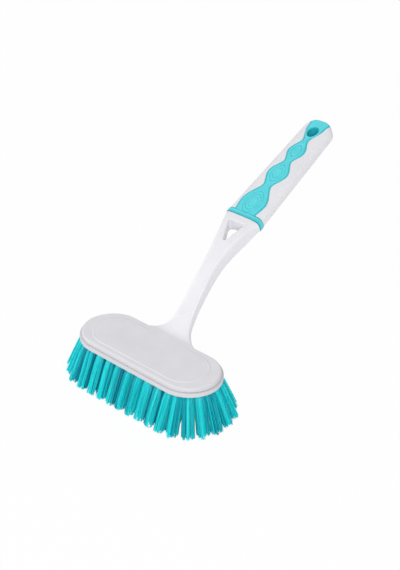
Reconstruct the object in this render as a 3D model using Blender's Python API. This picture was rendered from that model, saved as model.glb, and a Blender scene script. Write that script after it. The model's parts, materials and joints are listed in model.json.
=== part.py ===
"""A bathtub scrubbing brush: oblong head, curved neck, flat handle with a soft grip.

Metres, +Z up. The brush stands on its bristle tips, the head lies along X and the handle
leaves the head along +Y and rises. The model is built around the middle of the head, with
the floor at zero height, and a parent empty then centres its footprint on the origin.
"""

import math

import bmesh
import bpy
import numpy
from mathutils import Matrix, Vector

# Clearance between pieces that touch, and the run of a cutter past what it cuts
seat_gap = 0.0003
overrun = 0.003

# Head cover: a shallow cap with a raised panel on top
cover_length = 0.1430
cover_width = 0.0545
cover_side_height = 0.0035
cover_wall = 0.0014
cover_roof = 0.0016
cover_rim_radius = 0.0020
panel_length = 0.1210
panel_width = 0.0422
panel_step = 0.0007
panel_edge_radius = 0.0004

# Bristle plate: it closes the cover from below and shows as a lip all round
flange_lip = 0.0016
flange_height = 0.0038
flange_edge_radius = 0.0006
tuft_hole_depth = 0.0042

# Bristle tufts
bristle_height = 0.0336
tuft_root_radius = 0.0022
tuft_tip_radius = 0.0050
strand_gap = 0.0003
tip_wander = 0.0004
outer_row_inset = 0.0055
row_spacing = 0.0115
outer_lean = math.radians(22)
middle_lean = math.radians(8)
strand_tip_share = 0.62
inner_tip_share = 0.75

# Neck: its front line is one S-shaped curve from the head's rear edge to the collar
neck_inset = 0.0100
neck_sink = 0.0003
neck_root_pull = 0.0129
neck_collar_pull = 0.0626
neck_root_width = 0.0167
neck_waist_width = 0.0142
neck_root_flare = 0.0170
neck_flare_fade = 0.0069
neck_settle_length = 0.0211
neck_root_thickness = 0.0076
neck_window_thickness = 0.0174
collar_reach = 0.1171
collar_rise = 0.0814

# Handle: a flat oval bar that narrows to its rounded end
handle_tilt = math.radians(25.6)
handle_length = 0.1260
handle_width = 0.0366
handle_end_width = 0.0287
handle_thickness = 0.0149
handle_corner_radius = 0.0062
handle_edge_radius = 0.0028

# Window through the neck, below the collar: its walls lean a little off upright, and flare
# from their throat to the back
window_base_width = 0.0173
window_corner_radius = 0.0016
window_wall_lean = math.radians(10)
window_throat_depth = 0.0105
window_flare_run = 0.0120
window_flare_angle = math.radians(34)

# Hanging hole through the handle's end
hang_hole_width = 0.0098
hang_hole_length = 0.0112
hang_hole_end_gap = 0.0157

# Soft grip: a band round the handle, a wavy inlay and an eyelet in one moulding
inlay_depth = 0.0013
inlay_proud = 0.0003
band_width = 0.0050
band_depth = 0.0016
band_proud = 0.0004
band_edge = 0.0006
eyelet_wall = 0.0014
inlay_end_gap = 0.0016
inlay_row_spacing = 0.0030
bulb_half_widths = (0.0130, 0.0102, 0.0085, 0.0083)
waist_half_widths = (0.0109, 0.0054, 0.0043, 0.0034, 0.0066)

# How far along the inlay the bulbs and the waists between them lie
bulb_place_shares = (0.126, 0.431, 0.669, 0.919)
waist_place_shares = (0.00, 0.299, 0.559, 0.786, 1.00)
bulb_fullness_power = 0.8

# Section shapes as superellipse powers, front and back: 2 is an ellipse, and more is squarer
head_end_power = 1.93
neck_powers = (6.0, 7.0)
handle_powers = (4.0, 3.6)

# Edges that turn more than this stay crisp, and heights this close count as one level
crease_angle = math.radians(35)
same_level_share = 0.0001

# How many faces and copies
curve_steps = 400
head_end_segments = 12
rim_segments = 3
section_points = 28
band_points = 36
neck_rings = 20
handle_rings = 9
end_rings = 5
inlay_columns = 6
hole_segments = 16
window_corner_segments = 3
outer_straight_steps = 8
outer_end_steps = 9
middle_straight_steps = 6
middle_end_steps = 2
outer_strands = 8
inner_strands = 6

# Where the neck's waist lies, how its flare to the collar starts and grows, where it has
# reached its thickness and where it starts to thicken to the handle's, and how closely its
# rings stand near the head
waist_share = 0.56
flare_start_share = 0.51
flare_power = 1.83
full_thickness_share = 0.98
collar_blend_share = 0.80
ring_spread_power = 1.4

# Where the window's apex and base lie along the neck's front line
window_apex_share = 0.773
window_base_share = 0.932

# The band's facets start half a step round from the handle's
band_start_share = 0.5

# Levels above the floor
plate_bottom = bristle_height
plate_flange_top = plate_bottom + flange_height
cover_bottom = plate_flange_top + seat_gap
cover_band_top = cover_bottom + cover_side_height
head_top = cover_band_top + panel_step
cavity_roof = cover_band_top - cover_roof


def clear_scene():
    """Removes every object that the scene starts with."""
    for thing in list(bpy.data.objects):
        bpy.data.objects.remove(thing, do_unlink=True)


def plastic(name, colour, roughness):
    """Makes a plain Principled material."""
    finish = bpy.data.materials.new(name)
    finish.use_nodes = True
    shader = finish.node_tree.nodes["Principled BSDF"]
    shader.inputs["Base Color"].default_value = (*colour, 1)
    shader.inputs["Roughness"].default_value = roughness
    shader.inputs["Metallic"].default_value = 0
    finish.diffuse_color = (*colour, 1)
    return finish


def body_from(shape, name, finish=None):
    """Turns a bmesh into an object with outward faces and smooth rounds."""
    bmesh.ops.recalc_face_normals(shape, faces=shape.faces)
    mesh = bpy.data.meshes.new(name)
    shape.to_mesh(mesh)
    shape.free()
    mesh.shade_smooth()
    mesh.set_sharp_from_angle(angle=crease_angle)
    piece = bpy.data.objects.new(name, mesh)
    bpy.context.scene.collection.objects.link(piece)
    if finish:
        mesh.materials.append(finish)
    return piece


def cutter_from(shape, name):
    """Makes an object that only guides a Boolean."""
    guide = body_from(shape, name)
    guide.hide_render = True
    guide.display_type = "WIRE"
    return guide


def combine(piece, other, operation):
    """Adds an exact Boolean to a piece."""
    step = piece.modifiers.new(f"{operation.lower()} {other.name}", "BOOLEAN")
    step.operation = operation
    step.solver = "EXACT"
    step.object = other


def oblong(half_length, half_width, segments):
    """Outline of an oblong with full round ends, anticlockwise, as (x, y) rows."""
    straight = half_length - half_width
    turn = numpy.linspace(-math.pi / 2, math.pi / 2, segments + 1)
    outward = numpy.abs(numpy.cos(turn)) ** (2 / head_end_power)
    sideways = numpy.sign(turn) * numpy.abs(numpy.sin(turn)) ** (2 / head_end_power)
    right = numpy.stack([straight + half_width * outward, half_width * sideways], axis=1)
    return numpy.concatenate([right, -right])


def prism(outline, bottom, top):
    """Extrudes a flat outline upwards into a closed bmesh."""
    shape = bmesh.new()
    corners = [shape.verts.new((x, y, bottom)) for x, y in outline]
    base = shape.faces.new(corners)
    raised = bmesh.ops.extrude_face_region(shape, geom=[base])["geom"]
    lifted = [item for item in raised if isinstance(item, bmesh.types.BMVert)]
    bmesh.ops.translate(shape, verts=lifted, vec=(0, 0, top - bottom))
    return shape


def round_rim(shape, level, radius, segments):
    """Rounds the edges of the flat face at a level."""
    rim = [edge for edge in shape.edges if all(math.isclose(vert.co.z, level, rel_tol=same_level_share)
                                               for vert in edge.verts)]
    bmesh.ops.bevel(shape, geom=rim, offset=radius, segments=segments, profile=0.5, affect="EDGES")


def loft(rings, closed=False):
    """Bridges a row of rings of points into a closed bmesh, capped or joined end to end."""
    shape = bmesh.new()
    loops = []
    for ring in rings:
        corners = [shape.verts.new(point) for point in ring]
        pairs = zip(corners, corners[1:] + corners[:1])
        loops.append([shape.edges.new(pair) for pair in pairs])
    if closed:
        neighbours = list(zip(loops, loops[1:] + loops[:1]))
    else:
        neighbours = list(zip(loops, loops[1:]))
        for loop in (loops[0], loops[-1]):
            bmesh.ops.contextual_create(shape, geom=loop)
    for first, second in neighbours:
        bmesh.ops.bridge_loops(shape, edges=first + second)
    return shape


def neck_curve():
    """Front line of the neck from the head's rear edge to the collar, with its slopes and runs."""
    along = math.cos(handle_tilt)
    upward = math.sin(handle_tilt)
    start = numpy.array([cover_width / 2, head_top - neck_sink])
    leave = start + numpy.array([neck_root_pull, 0])
    end = numpy.array([collar_reach, head_top + collar_rise])
    arrive = end - neck_collar_pull * numpy.array([along, upward])
    share = numpy.linspace(0, 1, curve_steps)[:, None]
    rest = 1 - share
    line = rest ** 3 * start + 3 * rest ** 2 * share * leave
    line += 3 * rest * share ** 2 * arrive + share ** 3 * end
    slope = rest ** 2 * (leave - start) + 2 * rest * share * (arrive - leave) + share ** 2 * (end - arrive)
    runs = numpy.concatenate([[0], numpy.cumsum(numpy.linalg.norm(numpy.diff(line, axis=0), axis=1))])
    return line, numpy.arctan2(slope[:, 1], slope[:, 0]), runs


def ease(share):
    """Half a cosine wave from zero to one, level at both ends."""
    return (1 - math.cos(math.pi * min(max(share, 0), 1))) / 2


def rounding(to_end, radius):
    """How far a rounded end has drawn in, at a distance from that end."""
    short = max(radius - to_end, 0)
    return radius - math.sqrt(radius ** 2 - short ** 2)


def section(centre, tilt, half_width, half_depth, powers, points=section_points, start_share=0):
    """One ring round the neck or handle, with a squarish front and a rounder back.

    The start share moves the ring's points along by that share of one step.
    """
    turn = (numpy.arange(points) + start_share) * 2 * math.pi / points
    power = numpy.where(numpy.sin(turn) >= 0, powers[0], powers[1])
    across = half_width * numpy.sign(numpy.cos(turn)) * numpy.abs(numpy.cos(turn)) ** (2 / power)
    outward = half_depth * numpy.sign(numpy.sin(turn)) * numpy.abs(numpy.sin(turn)) ** (2 / power)
    y = centre[0] - outward * math.sin(tilt)
    z = centre[1] + outward * math.cos(tilt)
    return numpy.stack([across, y, z], axis=1)


def neck_size(run, length):
    """Width and thickness of the neck at a run from the head's rear edge."""
    share = run / length
    narrowing = max(1 - share / waist_share, 0)
    flare = max((share - flare_start_share) / (1 - flare_start_share), 0) ** flare_power
    width = neck_waist_width + (neck_root_width - neck_waist_width) * narrowing
    width += (handle_width - neck_waist_width) * flare
    width += 2 * neck_root_flare * math.exp(-run / neck_flare_fade)
    thickness = neck_root_thickness
    thickness += (neck_window_thickness - neck_root_thickness) * ease(share / full_thickness_share)
    to_collar = (share - collar_blend_share) / (1 - collar_blend_share)
    thickness += (handle_thickness - neck_window_thickness) * ease(to_collar)
    edge_thickness = head_top - neck_sink - cover_bottom
    return width, edge_thickness + (thickness - edge_thickness) * ease(run / neck_settle_length)


def neck_sections():
    """Rings of the neck, from inside the head to the collar."""
    line, tilts, runs = neck_curve()
    length = runs[-1]
    stations = length * numpy.linspace(0, 1, neck_rings + 1) ** ring_spread_power
    rings = []
    for run in [-neck_inset, *stations]:
        reach = max(run, 0)
        width, thickness = neck_size(reach, length)
        tilt = numpy.interp(reach, runs, tilts)
        front = numpy.array([numpy.interp(reach, runs, line[:, 0]), numpy.interp(reach, runs, line[:, 1])])
        front[0] += min(run, 0)
        centre = front - thickness / 2 * numpy.array([-math.sin(tilt), math.cos(tilt)])
        blend = ease((reach / length - collar_blend_share) / (1 - collar_blend_share))
        powers = numpy.array(neck_powers) * (1 - blend) + numpy.array(handle_powers) * blend
        rings.append(section(centre, tilt, width / 2, thickness / 2, powers))
    return rings


def handle_half_width(run):
    """Half width of the handle at a run from the collar."""
    share = run / handle_length
    straight = (handle_width + (handle_end_width - handle_width) * share) / 2
    return straight - rounding(handle_length - run, handle_corner_radius)


def handle_half_thickness(run):
    """Half thickness of the handle at a run from the collar."""
    return handle_thickness / 2 - rounding(handle_length - run, handle_edge_radius)


def handle_place(run, across, outward):
    """World point of a place given along, across and outward of the handle's middle line."""
    along = math.cos(handle_tilt)
    upward = math.sin(handle_tilt)
    lifted = outward - handle_thickness / 2
    y = collar_reach + run * along - lifted * upward
    z = head_top + collar_rise + run * upward + lifted * along
    return numpy.stack(numpy.broadcast_arrays(across, y, z), axis=-1)


def handle_sections():
    """Rings of the handle, from just past the collar's start to its rounded end."""
    corner = handle_corner_radius * numpy.sin(numpy.linspace(0, math.pi / 2, end_rings + 1))
    straight = numpy.linspace(0, handle_length - handle_corner_radius, handle_rings + 1)[1:]
    stations = numpy.concatenate([straight, handle_length - handle_corner_radius + corner[1:]])
    rings = []
    for run in stations:
        middle = handle_place(run, 0, 0)
        rings.append(section(middle[1:], handle_tilt, handle_half_width(run), handle_half_thickness(run),
                             handle_powers))
    return rings


def front_height(run, across):
    """Height of the handle's crowned front over its middle line."""
    share = numpy.clip(numpy.abs(across) / handle_half_width(run), 0, 1)
    return handle_half_thickness(run) * (1 - share ** handle_powers[0]) ** (1 / handle_powers[0])


def inlay_half_width(run, start, length):
    """Half width of the wavy inlay: bulbs and waists joined by half cosine waves."""
    places = numpy.sort(numpy.concatenate([waist_place_shares, bulb_place_shares])) * length + start
    widths = [waist_half_widths[0]]
    for bulb, waist in zip(bulb_half_widths, waist_half_widths[1:]):
        widths += [bulb, waist]
    after = int(numpy.clip(numpy.searchsorted(places, run), 1, len(places) - 1))
    share = (run - places[after - 1]) / (places[after] - places[after - 1])
    nearer_waist = min(widths[after - 1], widths[after])
    bulge = abs(widths[after] - widths[after - 1])
    rising = share if widths[after] > widths[after - 1] else 1 - share
    return nearer_waist + bulge * ease(rising) ** bulb_fullness_power


def inlay_sections(margin, depth, proud):
    """Rings of the wavy inlay, which follow the crowned front of the handle."""
    start = band_width / 2
    end = handle_length - inlay_end_gap
    rows = round((end - start) / inlay_row_spacing)
    rings = []
    for run in numpy.linspace(start, end + margin, rows + 1):
        half = inlay_half_width(min(run, end), start, end - start) + margin
        across = numpy.linspace(-half, half, inlay_columns + 1)
        height = front_height(run, across)
        upper = handle_place(run, across, height + proud)
        lower = handle_place(run, across[::-1], height[::-1] - depth)
        rings.append(numpy.concatenate([upper, lower]))
    return rings


def band_sections(margin, depth, proud):
    """Rings of the band, carried once round the handle's section."""
    low = -margin
    high = band_width + margin
    edge = min(band_edge, proud)
    profile = [(low, -depth), (low, proud - edge), (low + edge, proud),
               (high - edge, proud), (high, proud - edge), (high, -depth)]
    turns = []
    for run, offset in profile:
        middle = handle_place(run, 0, 0)
        half_width = handle_half_width(max(run, 0)) + offset
        turns.append(section(middle[1:], handle_tilt, half_width, handle_half_thickness(run) + offset,
                             handle_powers, band_points, band_start_share))
    return list(numpy.stack(turns, axis=1))


def oval(half_width, half_length, segments):
    """An ellipse as (x, y) rows."""
    turn = numpy.linspace(0, 2 * math.pi, segments, endpoint=False)
    return numpy.stack([half_width * numpy.cos(turn), half_length * numpy.sin(turn)], axis=1)


def hang_hole_outline(margin):
    """Outline of the hanging hole, seen from above."""
    centre = collar_reach + (handle_length - hang_hole_end_gap) * math.cos(handle_tilt)
    outline = oval(hang_hole_width / 2 + margin, hang_hole_length / 2 + margin, hole_segments)
    return outline + numpy.array([0, centre])


def handle_levels():
    """Heights below and above the whole handle, for cutters that go right through."""
    floor = head_top + collar_rise - handle_thickness - overrun
    ceiling = head_top + collar_rise + handle_length * math.sin(handle_tilt) + handle_thickness + overrun
    return floor, ceiling


def head_cover(finish):
    """The white moulding: cover, neck and handle in one piece."""
    half_length = cover_length / 2
    half_width = cover_width / 2
    shell = prism(oblong(half_length, half_width, head_end_segments), cover_bottom, cover_band_top)
    round_rim(shell, cover_band_top, cover_rim_radius, rim_segments)
    piece = body_from(shell, "brush_body", finish)

    panel = prism(oblong(panel_length / 2, panel_width / 2, head_end_segments),
                  cavity_roof + seat_gap, head_top)
    round_rim(panel, head_top, panel_edge_radius, 1)
    combine(piece, cutter_from(panel, "raised_panel"), "UNION")

    stem = loft(neck_sections() + handle_sections())
    combine(piece, cutter_from(stem, "neck_and_handle"), "UNION")

    cavity = prism(oblong(half_length - cover_wall, half_width - cover_wall, head_end_segments),
                   cover_bottom - overrun, cavity_roof)
    combine(piece, cutter_from(cavity, "cover_cavity"), "DIFFERENCE")

    combine(piece, window_cutter(), "DIFFERENCE")

    recess = loft(inlay_sections(seat_gap, inlay_depth + seat_gap, overrun))
    combine(piece, cutter_from(recess, "inlay_recess"), "DIFFERENCE")

    groove = loft(band_sections(seat_gap, band_depth + seat_gap, overrun), closed=True)
    combine(piece, cutter_from(groove, "band_groove"), "DIFFERENCE")

    bore = prism(hang_hole_outline(eyelet_wall + seat_gap), *handle_levels())
    combine(piece, cutter_from(bore, "eyelet_bore"), "DIFFERENCE")
    return piece


def window_ring(depth, growth):
    """One ring of the window: a triangle with rounded corners, at a depth along its walls.

    It lies parallel to the neck's front, with its apex towards the head, and is grown
    outwards by the growth.
    """
    line, _, runs = neck_curve()
    places = numpy.array([window_apex_share, window_base_share]) * runs[-1]
    apex, base = numpy.column_stack([numpy.interp(places, runs, axis) for axis in line.T])
    length = numpy.linalg.norm(base - apex)
    corners = numpy.array([(0, 0), (window_base_width / 2, length), (-window_base_width / 2, length)])
    sides = numpy.roll(corners, -1, axis=0) - corners
    outward = numpy.stack([sides[:, 1], -sides[:, 0]], axis=1) / numpy.linalg.norm(sides, axis=1)[:, None]
    outline = []
    for corner, before, after in zip(corners, numpy.roll(outward, 1, axis=0), outward):
        centre = corner - window_corner_radius * (before + after) / (1 + before @ after)
        start = math.atan2(before[1], before[0])
        turn = (math.atan2(after[1], after[0]) - start) % (2 * math.pi)
        for angle in start + turn * numpy.linspace(0, 1, window_corner_segments + 1):
            arm = numpy.array([math.cos(angle), math.sin(angle)])
            outline.append(centre + (window_corner_radius + growth) * arm)
    across, along = numpy.array(outline).T
    wall = numpy.array([math.sin(window_wall_lean), -math.cos(window_wall_lean)])
    middle = apex + along[:, None] * (base - apex) / length + depth * wall
    return numpy.column_stack([across, middle])


def window_cutter():
    """Cutter for the window: straight walls down to the throat, then a flare to the back."""
    flare = window_flare_run * math.tan(window_flare_angle)
    back = window_throat_depth + window_flare_run
    rings = [window_ring(-overrun, 0), window_ring(window_throat_depth, 0), window_ring(back, flare)]
    return cutter_from(loft(rings), "neck_window")


def soft_grip(finish):
    """The soft moulding: band, wavy inlay, and the eyelet that lines the hanging hole."""
    band = loft(band_sections(0, band_depth, band_proud), closed=True)
    piece = body_from(band, "soft_grip", finish)

    inlay = loft(inlay_sections(0, inlay_depth, inlay_proud))
    combine(piece, cutter_from(inlay, "wavy_inlay"), "UNION")

    lining = prism(hang_hole_outline(eyelet_wall), *handle_levels())
    keep = loft(handle_sections())
    eyelet = cutter_from(lining, "eyelet_lining")
    combine(eyelet, cutter_from(keep, "handle_envelope"), "INTERSECT")
    combine(piece, eyelet, "UNION")

    hole = prism(hang_hole_outline(0), *handle_levels())
    combine(piece, cutter_from(hole, "hanging_hole"), "DIFFERENCE")
    return piece


def row_places(straight, radius, straight_steps, end_steps):
    """Places and outward directions of the tufts in one oblong ring."""
    places = []
    for side in (-1, 1):
        for step in range(straight_steps + 1):
            x = side * straight * (1 - 2 * step / straight_steps)
            places.append((Vector((x, side * radius, 0)), Vector((0, side, 0))))
        for step in range(1, end_steps):
            turn = math.pi * step / end_steps
            outward = Vector((-side * math.sin(turn), side * math.cos(turn), 0))
            places.append((Vector((-side * straight, 0, 0)) + radius * outward, outward))
    return places


def tuft_rows():
    """Name, place, lean and strand count of every tuft."""
    half_length = cover_length / 2 + flange_lip - outer_row_inset
    outer_radius = cover_width / 2 + flange_lip - outer_row_inset
    straight = half_length - outer_radius
    middle_radius = outer_radius - row_spacing
    rows = []
    outer = row_places(straight, outer_radius, outer_straight_steps, outer_end_steps)
    middle = row_places(straight, middle_radius, middle_straight_steps, middle_end_steps)
    for number, (place, outward) in enumerate(outer, start=1):
        rows.append((f"tuft_outer_{number:02d}", place, outward * math.tan(outer_lean), outer_strands))
    for number, (place, outward) in enumerate(middle, start=1):
        rows.append((f"tuft_middle_{number:02d}", place, outward * math.tan(middle_lean), inner_strands))
    for number in range(1, middle_straight_steps + 1):
        x = straight * (2 * number - 1 - middle_straight_steps) / middle_straight_steps
        rows.append((f"tuft_centre_{number:02d}", Vector((x, 0, 0)), Vector(), inner_strands))
    return rows


def lean_matrix(lean):
    """Turns an upright tuft or hole so that its lower end points out along its lean."""
    return Vector((0, 0, -1)).rotation_difference(lean - Vector((0, 0, 1))).to_matrix().to_4x4()


def tuft(name, place, lean, strands, finish, draw):
    """One tuft: its root plug, and strands that spread from the plug to the floor.

    The plug's lower face is a fan of cells. Each cell is drawn in, pulled out into one
    three-sided strand and carried to its own place at the floor, so no two strands cross.
    """
    shape = bmesh.new()
    root_depth = tuft_hole_depth - seat_gap
    bmesh.ops.create_cone(shape, cap_ends=True, cap_tris=True, segments=strands, radius1=tuft_root_radius,
                          radius2=tuft_root_radius, depth=root_depth,
                          matrix=Matrix.Translation((0, 0, root_depth / 2)))
    cells = [face for face in shape.faces if face.normal.z < -0.5]
    bmesh.ops.inset_individual(shape, faces=cells, thickness=strand_gap / 2)
    plug = list(shape.verts)
    cells = bmesh.ops.extrude_discrete_faces(shape, faces=cells)["faces"]
    spread = tuft_tip_radius / tuft_root_radius
    for number, cell in enumerate(sorted(cells, key=bearing)):
        middle = cell.calc_center_median()
        reach = spread * (1 if number % 2 == 0 else inner_tip_share)
        wander = Vector((*draw.uniform(-tip_wander, tip_wander, 2), 0))
        for vert in cell.verts:
            tip = middle * reach + (vert.co - middle) * strand_tip_share * spread
            tip += lean * bristle_height + wander
            vert.co = Vector((tip.x, tip.y, -bristle_height))
    bmesh.ops.transform(shape, verts=plug, matrix=lean_matrix(lean))
    piece = body_from(shape, name, finish)
    piece.location = place + Vector((0, 0, plate_bottom))
    return piece


def bearing(cell):
    """Angle of a strand's cell round its tuft."""
    middle = cell.calc_center_median()
    return math.atan2(middle.y, middle.x)


def bristle_plate(rows, finish):
    """The plate that closes the cover and holds every tuft in a blind hole."""
    half_length = cover_length / 2 + flange_lip
    half_width = cover_width / 2 + flange_lip
    flange = prism(oblong(half_length, half_width, head_end_segments), plate_bottom, plate_flange_top)
    round_rim(flange, plate_flange_top, flange_edge_radius, 1)
    round_rim(flange, plate_bottom, flange_edge_radius, 1)
    piece = body_from(flange, "bristle_plate", finish)

    inset = cover_wall + seat_gap
    core = prism(oblong(cover_length / 2 - inset, cover_width / 2 - inset, head_end_segments),
                 plate_flange_top - flange_height / 2, cavity_roof - seat_gap)
    combine(piece, cutter_from(core, "plate_core"), "UNION")

    holes = bmesh.new()
    depth = tuft_hole_depth + overrun
    for name, place, lean, strands in rows:
        seat = Matrix.Translation(place + Vector((0, 0, plate_bottom))) @ lean_matrix(lean)
        seat @= Matrix.Translation((0, 0, tuft_hole_depth - depth / 2))
        radius = tuft_root_radius + seat_gap / math.cos(math.pi / strands)
        bmesh.ops.create_cone(holes, cap_ends=True, segments=strands, radius1=radius, radius2=radius,
                              depth=depth, matrix=seat)
    combine(piece, cutter_from(holes, "tuft_holes"), "DIFFERENCE")
    return piece


def centre_footprint(pieces):
    """Parents the pieces and their cutters to an empty that centres the footprint."""
    bpy.context.view_layer.update()
    graph = bpy.context.evaluated_depsgraph_get()
    depths = []
    for piece in pieces:
        shown = piece.evaluated_get(graph)
        depths += [(shown.matrix_world @ Vector(corner)).y for corner in shown.bound_box]
    stand = bpy.data.objects.new("brush_stand", None)
    for thing in bpy.context.scene.objects:
        thing.parent = stand
    bpy.context.scene.collection.objects.link(stand)
    stand.location = (0, -(min(depths) + max(depths)) / 2, 0)


def build():
    """Builds the whole brush."""
    clear_scene()
    white = plastic("white_plastic", (0.83, 0.83, 0.86), 0.38)
    soft = plastic("turquoise_soft_plastic", (0.10, 0.63, 0.72), 0.55)
    bristle = plastic("turquoise_bristle", (0.01, 0.55, 0.62), 0.35)
    rows = tuft_rows()
    draw = numpy.random.RandomState(7)
    pieces = [head_cover(white), bristle_plate(rows, white), soft_grip(soft)]
    pieces += [tuft(*row, bristle, draw) for row in rows]
    centre_footprint(pieces)


build()
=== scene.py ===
"""A bathtub brush on a pale studio floor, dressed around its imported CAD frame.

All lengths are metres in the frame of the CAD: the brush stands on its bristle tips, the head
lies along X and the handle leaves it along +Y and rises.
"""
import json
import math

import bpy
import numpy as np
from mathutils import Matrix, Vector

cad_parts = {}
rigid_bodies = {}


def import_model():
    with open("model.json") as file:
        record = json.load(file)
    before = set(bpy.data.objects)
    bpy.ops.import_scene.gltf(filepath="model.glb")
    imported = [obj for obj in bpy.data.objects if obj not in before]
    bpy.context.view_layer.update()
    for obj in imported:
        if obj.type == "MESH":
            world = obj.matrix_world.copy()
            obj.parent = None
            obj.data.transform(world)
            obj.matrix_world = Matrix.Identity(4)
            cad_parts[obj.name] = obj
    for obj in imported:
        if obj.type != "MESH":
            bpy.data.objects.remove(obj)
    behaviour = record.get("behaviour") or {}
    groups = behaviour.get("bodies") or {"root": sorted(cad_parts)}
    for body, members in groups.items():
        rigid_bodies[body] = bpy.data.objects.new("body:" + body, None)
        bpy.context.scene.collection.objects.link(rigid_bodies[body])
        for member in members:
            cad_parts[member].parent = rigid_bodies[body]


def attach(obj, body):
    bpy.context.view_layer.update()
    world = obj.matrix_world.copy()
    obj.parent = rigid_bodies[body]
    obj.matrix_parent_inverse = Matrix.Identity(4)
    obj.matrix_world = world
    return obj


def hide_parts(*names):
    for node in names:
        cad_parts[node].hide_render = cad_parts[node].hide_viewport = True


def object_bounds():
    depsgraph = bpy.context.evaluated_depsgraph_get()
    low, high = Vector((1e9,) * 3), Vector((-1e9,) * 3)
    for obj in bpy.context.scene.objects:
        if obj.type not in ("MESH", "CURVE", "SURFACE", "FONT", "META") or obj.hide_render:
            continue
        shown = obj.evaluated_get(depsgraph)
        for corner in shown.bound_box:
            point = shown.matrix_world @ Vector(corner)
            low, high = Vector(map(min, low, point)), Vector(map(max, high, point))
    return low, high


for left_over in list(bpy.data.objects):
    bpy.data.objects.remove(left_over, do_unlink=True)

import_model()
cad_box = [list(corner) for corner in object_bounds()]

# Brush body: head cover, curved neck and handle, moulded in one piece.
# White polypropylene from a finely eroded mould: satin, slightly translucent, with a faint
# cloudiness and the soft waves that thick walls get as they cool.

mm = 0.001


def linear(code):
    """An sRGB hex colour as linear red, green, blue and alpha."""
    shares = np.array([int(code[i:i + 2], 16) for i in (1, 3, 5)]) / 255
    low, high = shares / 12.92, ((shares + 0.055) / 1.055) ** 2.4
    return (*np.where(shares <= 0.04045, low, high), 1.0)


def add(tree, kind, settings=None, links=None):
    """Adds one node with its settings, by socket or property name, and its links by socket."""
    node = tree.nodes.new(kind)
    for name, value in (settings or {}).items():
        if name in node.inputs:
            node.inputs[name].default_value = value
        else:
            setattr(node, name, value)
    for name, source in (links or {}).items():
        tree.links.new(source, node.inputs[name])
    return node


def new_finish(name):
    """An empty material with a Principled shader: returns the material, its tree and the shader."""
    finish = bpy.data.materials.new(name)
    finish.use_nodes = True
    return finish, finish.node_tree, finish.node_tree.nodes["Principled BSDF"]


def set_all(shader, settings):
    """Sets the constant sockets of a shader."""
    for name, value in settings.items():
        shader.inputs[name].default_value = value


def cloudy_tint(tree, place, size, settings, dark, light):
    """Soft clouds of a size between two close shades, as a moulded plastic has."""
    clouds = add(tree, "ShaderNodeTexNoise", {"Scale": 1 / size, "Detail": 4.0, **settings},
                 {"Vector": place})
    tint = add(tree, "ShaderNodeValToRGB", links={"Fac": clouds.outputs["Fac"]})
    for stop, position, code in zip(tint.color_ramp.elements, (0.30, 0.70), (dark, light)):
        stop.position, stop.color = position, linear(code)
    return tint.outputs["Color"]


# A Mix node has sockets of one name for each kind of value: these are its colour ones
colour_a, colour_b, colour_mixed = 6, 7, 2


def moulded_polypropylene():
    """Injection-moulded PP: milky, so light softens under the surface, with a satin gloss."""
    finish, tree, shader = new_finish("moulded_polypropylene")
    set_all(shader, {"IOR": 1.49, "Subsurface Weight": 0.12, "Subsurface Scale": 1.5 * mm,
                     "Subsurface Radius": (1.0, 0.95, 0.9), "Specular IOR Level": 0.5})
    place = add(tree, "ShaderNodeTexCoord").outputs["Object"]
    tint = cloudy_tint(tree, place, 18 * mm, {"Roughness": 0.55}, "#E6E5EA", "#EBEBEF")
    # The head's sides are drawn greyer: the flared bristles keep the floor's light from them, and
    # more so in the photograph than here
    height = add(tree, "ShaderNodeSeparateXYZ", links={"Vector": place}).outputs["Z"]
    low = add(tree, "ShaderNodeMapRange",
              {"From Min": band_top, "From Max": band_top - sides_tint_fade}, {"Value": height})
    shaded = add(tree, "ShaderNodeMix", {"data_type": "RGBA"}, {"Factor": low.outputs["Result"]})
    tree.links.new(tint, shaded.inputs[colour_a])
    shaded.inputs[colour_b].default_value = linear("#D4D3D8")
    tree.links.new(shaded.outputs[colour_mixed], shader.inputs["Base Color"])
    # The eroded grain is about 0.1 mm, and is drawn at 0.35 mm so that it shows
    grain = add(tree, "ShaderNodeTexNoise", {"Scale": 1 / (0.35 * mm), "Detail": 3.0},
                {"Vector": place})
    gloss = add(tree, "ShaderNodeMapRange", {"To Min": 0.30, "To Max": 0.46},
                {"Value": grain.outputs["Fac"]})
    tree.links.new(gloss.outputs["Result"], shader.inputs["Roughness"])
    # The walls' soft waves are 14 mm long and about a tenth of a millimetre deep
    waves = add(tree, "ShaderNodeTexNoise", {"Scale": 1 / (14 * mm), "Detail": 1.0},
                {"Vector": place})
    soft = add(tree, "ShaderNodeBump", {"Strength": 0.25, "Distance": 0.12 * mm},
               {"Height": waves.outputs["Fac"]})
    fine = add(tree, "ShaderNodeBump", {"Strength": 0.30, "Distance": 0.010 * mm},
               {"Height": grain.outputs["Fac"], "Normal": soft.outputs["Normal"]})
    tree.links.new(fine.outputs["Normal"], shader.inputs["Normal"])
    return finish


def link_mesh(name, points, faces):
    """A new object at the origin from points and faces, with its faces turned outwards."""
    mesh = bpy.data.meshes.new(name)
    mesh.from_pydata(points.reshape(-1, 3).tolist(), [], faces)
    mesh.validate()
    piece = bpy.data.objects.new(name, mesh)
    bpy.context.scene.collection.objects.link(piece)
    face_outward(mesh)
    return piece


def face_outward(mesh):
    """Turns a closed mesh's faces outwards, by the sign of its volume."""
    mesh.calc_loop_triangles()
    corners = np.empty(len(mesh.vertices) * 3)
    mesh.vertices.foreach_get("co", corners)
    corners = corners.reshape(-1, 3)
    triangles = np.empty(len(mesh.loop_triangles) * 3, dtype=np.int64)
    mesh.loop_triangles.foreach_get("vertices", triangles)
    a, b, c = (corners[triangles.reshape(-1, 3)[:, i]] for i in range(3))
    if np.einsum("ij,ij->i", a, np.cross(b, c)).sum() < 0:
        mesh.flip_normals()


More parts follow.
